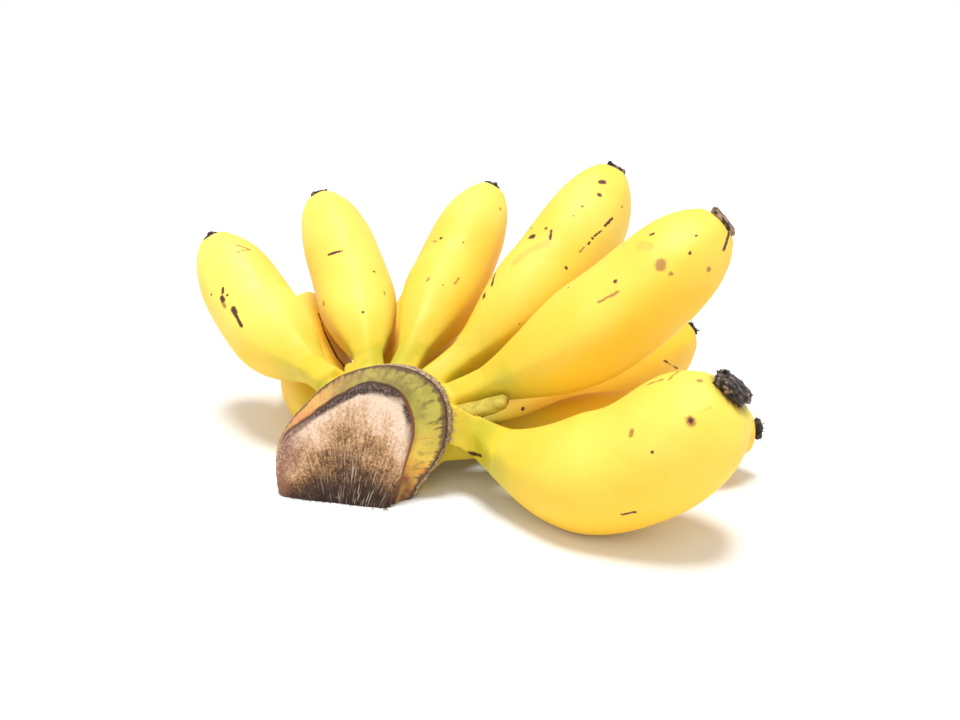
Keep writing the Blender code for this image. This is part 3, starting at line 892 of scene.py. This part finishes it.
def makeCrownMaterial():
    material, tree, shader = newMaterial("crownCut", Specular_IOR_Level=0.35,
                                         Subsurface_Weight=0.08,
                                         Subsurface_Radius=(1.0, 0.45, 0.1),
                                         Subsurface_Scale=0.003)
    place = placeInMm(tree)
    scar, band, depth, clock, across, up, out = (
        attribute(tree, name)
        for name in ("scar", "band", "depth", "clock", "across", "up", "out"))

    # the scar: pale grainy flesh above, dark fibres that fan out from its foot below
    fan = maths(tree, "DIVIDE", maths(tree, "ADD", across, 6.0), maths(tree, "ADD", up, 24.0))
    fanned = addNode(tree, "ShaderNodeCombineXYZ",
                     {0: maths(tree, "MULTIPLY", fan, 52.0),
                      1: maths(tree, "MULTIPLY", up, 0.11), 2: 0.0}).outputs[0]
    grain = noiseOf(tree, place, 1.25, 5.0, 0.8)
    brushed = noiseOf(tree, vectorMaths(tree, "MULTIPLY", fanned, (1.6, 4.0, 1.0)), 1.0, 4.0, 0.7)
    fibres = noiseOf(tree, fanned, 1.1, 5.0, 0.75)
    broad = noiseOf(tree, place, 0.16, 3.0)
    beside = maths(tree, "ABSOLUTE", maths(tree, "ADD", across, 4.0))
    beside = maths(tree, "MAXIMUM", maths(tree, "SUBTRACT", beside, 4.0), 0.0)
    raised = maths(tree, "ADD", up, beside)
    raised = maths(tree, "ADD", raised, span(tree, broad, 0.3, 0.7, -5.0, 5.0, "LINEAR"))
    raised = maths(tree, "ADD", raised, span(tree, fibres, 0.3, 0.7, -6.0, 6.0, "LINEAR"))
    tone = span(tree, raised, 0.0, 36.0, kind="LINEAR")
    tone = maths(tree, "MULTIPLY", tone, span(tree, up, 0.5, 9.0, 0.35, 1.0))
    tone = maths(tree, "ADD", tone, span(tree, grain, 0.3, 0.7, -0.30, 0.26, "LINEAR"))
    tone = maths(tree, "ADD", tone, span(tree, brushed, 0.3, 0.7, -0.07, 0.07, "LINEAR"))
    colour = colourRamp(tree, tone, scarStops)
    strands = span(tree, noiseOf(tree, vectorMaths(tree, "ADD", fanned, (31, 7, 3)), 1.3, 3.0),
                   0.56, 0.66)
    strands = maths(tree, "MULTIPLY", strands, span(tree, up, 14.0, 22.0, 0.75, 0.0))
    strands = maths(tree, "MULTIPLY", strands, span(tree, beside, 2.0, 9.0, 1.0, 0.15))
    colour = blendColours(tree, strands, colour, scarLook["strand"])
    left = maths(tree, "ADD", across, maths(tree, "MULTIPLY", broad, 9.0))
    left = maths(tree, "SUBTRACT", left, maths(tree, "MULTIPLY", up, 0.28))
    left = span(tree, left, -25.0, -18.0, 1.0, 0.0)
    left = maths(tree, "MULTIPLY", left, span(tree, grain, 0.42, 0.66, 1.0, 0.45))
    colour = blendColours(tree, left, colour, scarLook["side"])
    thin = maths(tree, "ADD", span(tree, clock, 0.36, 0.48, 0.05, 0.0),
                 span(tree, clock, 0.54, 0.64, 0.0, 0.10))
    nearEdge = maths(tree, "ADD", scar, maths(tree, "MULTIPLY", broad, 0.20))
    nearEdge = span(tree, maths(tree, "SUBTRACT", nearEdge, thin), 0.90, 0.98)
    crest = maths(tree, "MULTIPLY", nearEdge, span(tree, up, 15.0, 29.0))
    crest = maths(tree, "MULTIPLY", crest, span(tree, grain, 0.42, 0.68, 1.0, 0.74))
    colour = blendColours(tree, crest, colour, scarLook["crest"])

    # the band: glassy flesh with streaks from the scar outwards
    bandColour = colourRamp(tree, maths(tree, "ADD", clock, span(tree, broad, 0.3, 0.7,
                                                                 -0.018, 0.018)), bandStops)
    rays = addNode(tree, "ShaderNodeCombineXYZ",
                   {0: maths(tree, "MULTIPLY", clock, 90.0),
                    1: maths(tree, "MULTIPLY", band, 1.5), 2: 0.0}).outputs[0]
    rayNoise = noiseOf(tree, rays, 1.0, 4.0, 0.65)
    clouds = span(tree, noiseOf(tree, place, 0.26, 3.0), 0.40, 0.62)
    bandColour = blendColours(tree, maths(tree, "MULTIPLY", clouds, 0.35), bandColour,
                              bandLook["cloud"])
    streaks = span(tree, rayNoise, 0.50, 0.64)
    streaks = maths(tree, "MULTIPLY", streaks, span(tree, band, 0.15, 0.75, 0.15, 0.85))
    streaks = maths(tree, "MULTIPLY", streaks, span(tree, clock, 0.40, 0.60, 0.35, 1.0))
    bandColour = blendColours(tree, streaks, bandColour, bandLook["streak"])
    outerDark = span(tree, maths(tree, "ADD", band, maths(tree, "MULTIPLY", rayNoise, 0.35)),
                     1.00, 1.13)
    bandColour = blendColours(tree, maths(tree, "MULTIPLY", outerDark, 0.85), bandColour,
                              bandLook["outer"])
    onBand = span(tree, scar, 1.0, 1.012)
    colour = blendColours(tree, onBand, colour, bandColour)
    # the dark line round the scar; where it is wider, on the left side, it is partly painted shadow
    # between the scar and the curled band
    line = maths(tree, "ABSOLUTE", maths(tree, "SUBTRACT", scar, 1.0))
    lineWidth = span(tree, clock, 0.42, 0.56, 0.055, 0.026)
    line = span(tree, line, 0.004, lineWidth, 1.0, 0.0)
    reddish = blendColours(tree, span(tree, clock, 0.60, 0.68), scarLook["edge"],
                           scarLook["redEdge"])
    colour = blendColours(tree, maths(tree, "MULTIPLY", line, 0.9), colour, reddish)

    # the rim: a dark line, and crumbly cork behind it
    cork = blendColours(tree, span(tree, noiseOf(tree, place, 1.3, 3.0, 0.7), 0.38, 0.60),
                        corkLook["dark"], corkLook["pale"])
    behind = maths(tree, "ADD", depth, maths(tree, "MULTIPLY", grain, 0.5))
    onRim = span(tree, behind, 6.0, 6.3)
    colour = blendColours(tree, onRim, colour, cork)
    rimLine = maths(tree, "ABSOLUTE", maths(tree, "SUBTRACT", behind, 6.05))
    rimLine = span(tree, rimLine, 0.10, 0.38, 0.9, 0.0)
    colour = blendColours(tree, rimLine, colour, scarLook["edge"])

    # behind it all: the yellow body that the necks grow from
    # its underside turns golden as painted shade, as on the fruits
    peel = placeGroup(tree, peelGroup, {"Place": place, "Seed": (0, 0, 0),
                                        "UndersideShade": attribute(tree, "underside_shade")})
    ragged = maths(tree, "MULTIPLY", noiseOf(tree, place, 0.7, 3.0), 1.2)
    corkWidth = span(tree, clock, 0.50, 0.66, 3.2, 1.2)
    onBody = span(tree, maths(tree, "ADD", maths(tree, "ADD", depth, ragged), corkWidth),
                  10.0, 10.5)
    onBody = maths(tree, "MAXIMUM", onBody, span(tree, out, 1.035, 1.05))
    colour = blendColours(tree, onBody, colour, peel["Colour"])
    scratch = 0.0
    for start, stop, width in crownMarks:
        scratch = placeGroup(tree, strokeGroup, {"Place": place, "Start": start, "End": stop,
                                                 "Width": width, "Before": scratch})["Mask"]
    colour = blendColours(tree, scratch, colour, markLook["dark"]["middle"])
    tree.links.new(colour, shader.inputs["Base Color"])
    dry = addNode(tree, "ShaderNodeMix", {0: onBody, 2: 0.8, 3: peel["Roughness"]}).outputs[0]
    wet = maths(tree, "MULTIPLY", maths(tree, "MULTIPLY", onBand,
                maths(tree, "SUBTRACT", 1.0, onRim)), -0.35)
    tree.links.new(maths(tree, "ADD", dry, wet), shader.inputs["Roughness"])
    coarse = maths(tree, "ADD", maths(tree, "MULTIPLY", grain, 1.2), brushed)
    height = addNode(tree, "ShaderNodeMix", {0: onBody, 2: coarse, 3: peel["Height"]}).outputs[0]
    addBump(tree, shader, height, 0.5, 0.0006)
    return material


makeCrown()
print("crown made")


# The dried flower ends

driedLook = {
    "black": (0.010, 0.008, 0.007), "brown": (0.060, 0.032, 0.020), "tan": (0.42, 0.26, 0.16),
}
# plates is the number of withered flaps, spikes the number of hairs
capStyles = {
    "thin": {"rise": 0.72, "plates": 5, "spikes": 0, "lumps": 0.20, "tan": 0.30, "gloss": 0.5},
    "papery": {"rise": 0.36, "plates": 7, "spikes": 0, "lumps": 0.22, "tan": 0.75, "gloss": 0.7},
    "lumpy": {"rise": 0.68, "plates": 7, "spikes": 0, "lumps": 0.36, "tan": 0.2, "gloss": 0.2},
    "hairy": {"rise": 0.42, "plates": 5, "spikes": 9, "lumps": 0.30, "tan": 0.12, "gloss": 0.5},
}
capOf = {"upper_5": "papery", "upper_6": "lumpy", "lower_4": "hairy", "lower_5": "hairy"}
# flaps in shares of the flower's width or length, threads in mm
capShape = {
    "flapWidth": (0.16, 0.26), "flapThickness": 0.07, "flapLength": (0.3, 0.6),
    "flapPlace": 0.43, "threadReach": (1.6, 3.4), "threadWidth": (0.32, 0.05),
    "threadPlace": 0.2, "threadBend": 0.05,
}
# how far each dried flower leans off the end of its fruit
capLean = {
    "upper_1": (-0.20, -0.15, 0.0), "upper_2": (0.0, -0.20, 0.05),
    "upper_3": (0.0, -0.20, 0.10), "upper_4": (0.05, -0.22, 0.05),
    "upper_5": (-0.12, -0.32, -0.12), "lower_4": (-0.15, -0.30, 0.0),
}


def makeDriedMaterial(name, style):
    material, tree, shader = newMaterial("driedFlower_" + name, Specular_IOR_Level=0.45)
    place = placeInMm(tree)
    broad = noiseOf(tree, place, 0.5, 4.0, 0.65)
    colour = blendColours(tree, span(tree, broad, 0.42, 0.62), driedLook["black"],
                          driedLook["brown"])
    patches = span(tree, noiseOf(tree, vectorMaths(tree, "ADD", place, (9, 2, 5)), 0.45, 3.0),
                   0.62 - 0.3 * style["tan"], 0.74 - 0.3 * style["tan"])
    colour = blendColours(tree, maths(tree, "MULTIPLY", patches, 0.85), colour,
                          driedLook["tan"])
    tree.links.new(colour, shader.inputs["Base Color"])
    rough = span(tree, broad, 0.35, 0.65, style["gloss"] - 0.08, style["gloss"] + 0.2)
    tree.links.new(rough, shader.inputs["Roughness"])
    addBump(tree, shader, noiseOf(tree, place, 1.1, 3.0, 0.6), 0.5, 0.0004)
    return material


driedMaterials = {name: makeDriedMaterial(name, style) for name, style in capStyles.items()}


def makeCap(key, fruit):
    style = capStyles[capOf.get(key, "thin")]
    length, width = fruit["cap"]
    length *= style["rise"]
    draw = random.Random(int(fruit["seat"] * 7 + fruit["length"]))
    endPoint, ahead = fruit["line"][-1][:2]
    along = (ahead + Vector(capLean.get(key, (0.0, 0.0, 0.0)))).normalized()
    endPoint = endPoint + (along - ahead) * 4.0
    turn = along.to_track_quat("Z", "Y").to_matrix()
    bm = bmesh.new()
    made = bmesh.ops.create_uvsphere(bm, u_segments=40, v_segments=28, radius=1.0)["verts"]
    for vert in made:
        direction = vert.co.copy()
        lump = 1.0 + style["lumps"] * (wobble(direction, 0.55, fruit["seat"])
                                       + 0.5 * wobble(direction, 0.22, fruit["seat"]))
        squared = max(-1.0, min(1.0, direction.z * 1.5))
        vert.co = Vector((direction.x * width / 2 * lump, direction.y * width / 2 * lump,
                          length * (0.42 + 0.55 * squared * lump)))
    for index in range(style["plates"]):          # withered flaps that hug the end
        azimuth = math.tau * (index + draw.uniform(-0.25, 0.25)) / style["plates"]
        flap = bmesh.ops.create_uvsphere(bm, u_segments=12, v_segments=10,
                                         radius=1.0)["verts"]
        size = (width * draw.uniform(*capShape["flapWidth"]), width * capShape["flapThickness"],
                length * draw.uniform(*capShape["flapLength"]))
        tilt = Matrix.Rotation(draw.uniform(-0.9, 0.5), 3, "X")
        spin = Matrix.Rotation(azimuth - math.pi / 2, 3, "Z")
        centre = Vector((math.cos(azimuth), math.sin(azimuth), 0)) * width
        centre *= capShape["flapPlace"]
        centre.z = length * draw.uniform(0.2, 0.75)
        for vert in flap:
            crumple = 1.0 + 0.35 * wobble(vert.co + centre, 0.7, fruit["seat"])
            shaped = Vector([vert.co[axis] * size[axis] for axis in range(3)]) * crumple
            vert.co = spin @ (tilt @ shaped) + centre
    for index in range(style["spikes"]):          # stiff dry threads
        azimuth = draw.uniform(0, math.tau)
        reach = draw.uniform(*capShape["threadReach"])
        foot, point = capShape["threadWidth"]
        thread = bmesh.ops.create_cone(bm, cap_ends=True, segments=6, radius1=foot,
                                       radius2=point, depth=reach)["verts"]
        lean = Matrix.Rotation(draw.uniform(0.2, 1.1), 3, "Y")
        spin = Matrix.Rotation(azimuth, 3, "Z")
        for vert in thread:
            rise = vert.co.z + reach / 2
            bent = vert.co.x + capShape["threadBend"] * rise * rise
            vert.co = spin @ (lean @ Vector((bent, vert.co.y, rise)))
            vert.co += (Vector((math.cos(azimuth), math.sin(azimuth), 0)) * width
                        * capShape["threadPlace"])
            vert.co.z += length * 0.55
    for vert in bm.verts:
        vert.co = (turn @ vert.co + endPoint) * mm
    cap = linkPiece("dried_flower_" + key, bm, "dried_blossom", "blossom_tip_" + key)
    cap.data.materials.append(driedMaterials[capOf.get(key, "thin")])


for key, fruit in fruits.items():
    makeCap(key, fruit)
print("dried flowers made")


# The little finger that never filled

stub = {
    "seat": 4, "height": 26.2, "heading": (-4, 15), "length": 15.0,
    "girth": ((-0.35, 3.4), (0.3, 3.5), (0.6, 3.3), (0.85, 2.9), (1.0, 1.9)),
    "flat": 0.82, "bend": 1.2,
    # dark and pale are its dull olive peel, darkened as painted shade for the shade it sits in
    # between the necks
    "dark": (0.42, 0.33, 0.035), "pale": (0.60, 0.46, 0.055), "tip": (0.22, 0.13, 0.05),
}


def makeStub():
    seat = math.radians(stub["seat"])
    foot = Vector((hand["centre"][0] + hand["seatRadius"] * math.cos(seat),
                   hand["centre"][1] + hand["seatRadius"] * math.sin(seat), stub["height"]))
    along = heading(*stub["heading"])
    side = along.cross(Vector((0, 0, 1))).normalized()
    up = side.cross(along)
    bm = bmesh.new()
    layer = bm.verts.layers.float.new("share")
    for vert in bmesh.ops.create_uvsphere(bm, u_segments=32, v_segments=48,
                                          radius=1.0)["verts"]:
        u = 1.0 - math.acos(min(1.0, max(-1.0, vert.co.z))) / math.pi
        angle = math.atan2(vert.co.y, vert.co.x)
        share = -0.35 + 1.35 * u
        radius = stub["girth"][-1][1]
        for (low, first), (high, second) in zip(stub["girth"], stub["girth"][1:]):
            if low <= share <= high:
                radius = first + (second - first) * smooth((share - low) / (high - low))
        radius *= 1.0 - 0.07 * (1.0 - math.cos(4 * angle)) / 2
        radius *= math.sqrt(max(0.0, 1.0 - max(0.0, (u - 0.9) / 0.1) ** 2))
        radius *= min(1.0, u / 0.04)
        outward = side * math.cos(angle) + up * math.sin(angle) * stub["flat"]
        centre = foot + along * share * stub["length"] + up * stub["bend"] * share ** 2
        vert.co = (centre + outward * radius * (1 + 0.06 * wobble(centre + outward * radius,
                                                                  3.0))) * mm
        vert[layer] = share
    piece = linkPiece("small_finger", bm, "green_peel", "undeveloped_finger")
    material, tree, shader = newMaterial("greenPeel", Specular_IOR_Level=0.35,
                                         Roughness=0.55, Subsurface_Weight=0.1,
                                         Subsurface_Radius=(1.0, 0.5, 0.08),
                                         Subsurface_Scale=0.002)
    place = placeInMm(tree)
    share = attribute(tree, "share")
    mottle = noiseOf(tree, place, 0.5, 3.0)
    # the olive colours are partly painted shade
    colour = blendColours(tree, span(tree, mottle, 0.35, 0.65), stub["dark"], stub["pale"])
    tip = span(tree, maths(tree, "ADD", share, maths(tree, "MULTIPLY", mottle, 0.12)),
               0.96, 1.08)
    colour = blendColours(tree, tip, colour, stub["tip"])
    tree.links.new(colour, shader.inputs["Base Color"])
    addBump(tree, shader, noiseOf(tree, place, 1.0, 3.0), 0.3, 0.0004)
    piece.data.materials.append(material)


makeStub()
print("small finger made")


# Table, light and camera

studio = {
    "floorColour": (0.92, 0.92, 0.92), "floorRadius": 40.0, "floorDrop": 0.00005,
    "skyLight": 0.61, "backdrop": 1.0,
    "sunStrength": 2.65, "sunPlace": (-0.02, -0.03, 1.0), "sunSize": 20.0,
    "fillPower": 1.3, "fillPlace": (-0.25, -0.80, 0.50), "fillSize": 0.8,
}
# target and distance in mm, rise in degrees
view = {"target": (4.5, -19.5, 38.0), "distance": 300.0, "rise": 20.0, "lens": 34.51,
        "sensor": 36.0}


def makeStudio():
    bm = bmesh.new()
    bmesh.ops.create_circle(bm, cap_ends=True, segments=96, radius=studio["floorRadius"])
    bmesh.ops.translate(bm, verts=bm.verts, vec=(0, 0, -studio["floorDrop"]))
    mesh = bpy.data.meshes.new("table_top")
    bm.to_mesh(mesh)
    bm.free()
    floor = bpy.data.objects.new("table_top", mesh)
    bpy.context.scene.collection.objects.link(floor)
    material, _, shader = newMaterial("tableTop", Roughness=0.7, Specular_IOR_Level=0.2)
    shader.inputs["Base Color"].default_value = (*studio["floorColour"], 1.0)
    mesh.materials.append(material)

    world = bpy.data.worlds.new("studio")
    world.use_nodes = True
    backdrop = world.node_tree.nodes["Background"]
    backdrop.inputs["Color"].default_value = (1.0, 1.0, 1.0, 1.0)
    seen = addNode(world.node_tree, "ShaderNodeLightPath").outputs["Is Camera Ray"]
    world.node_tree.links.new(span(world.node_tree, seen, 0.0, 1.0, studio["skyLight"],
                                   studio["backdrop"], "LINEAR"),
                              backdrop.inputs["Strength"])
    bpy.context.scene.world = world
    sun = bpy.data.lights.new("sun", "SUN")
    sun.energy = studio["sunStrength"]
    sun.angle = math.radians(studio["sunSize"])
    fill = bpy.data.lights.new("fill", "AREA")
    fill.energy = studio["fillPower"]
    fill.size = studio["fillSize"]
    for light in (sun, fill):
        lamp = bpy.data.objects.new(light.name, light)
        lamp.location = studio[light.name + "Place"]
        aim = Vector((0.0, 0.0, 0.03)) - lamp.location
        lamp.rotation_euler = aim.to_track_quat("-Z", "Y").to_euler()
        bpy.context.scene.collection.objects.link(lamp)

    data = bpy.data.cameras.new("camera")
    data.lens = view["lens"]
    data.sensor_width = view["sensor"]
    data.clip_start = 0.01
    data.clip_end = 100.0
    camera = bpy.data.objects.new("camera", data)
    rise = math.radians(view["rise"])
    back = Vector((0.0, -math.cos(rise), math.sin(rise)))
    camera.location = (Vector(view["target"]) + back * view["distance"]) * mm
    camera.rotation_euler = (math.pi / 2 - rise, 0.0, 0.0)
    bpy.context.scene.collection.objects.link(camera)
    bpy.context.scene.camera = camera
    bpy.context.scene.view_settings.view_transform = "Standard"
    bpy.context.scene.view_settings.look = "None"
    bpy.context.scene.view_settings.exposure = 0.0


makeStudio()
print("studio made")
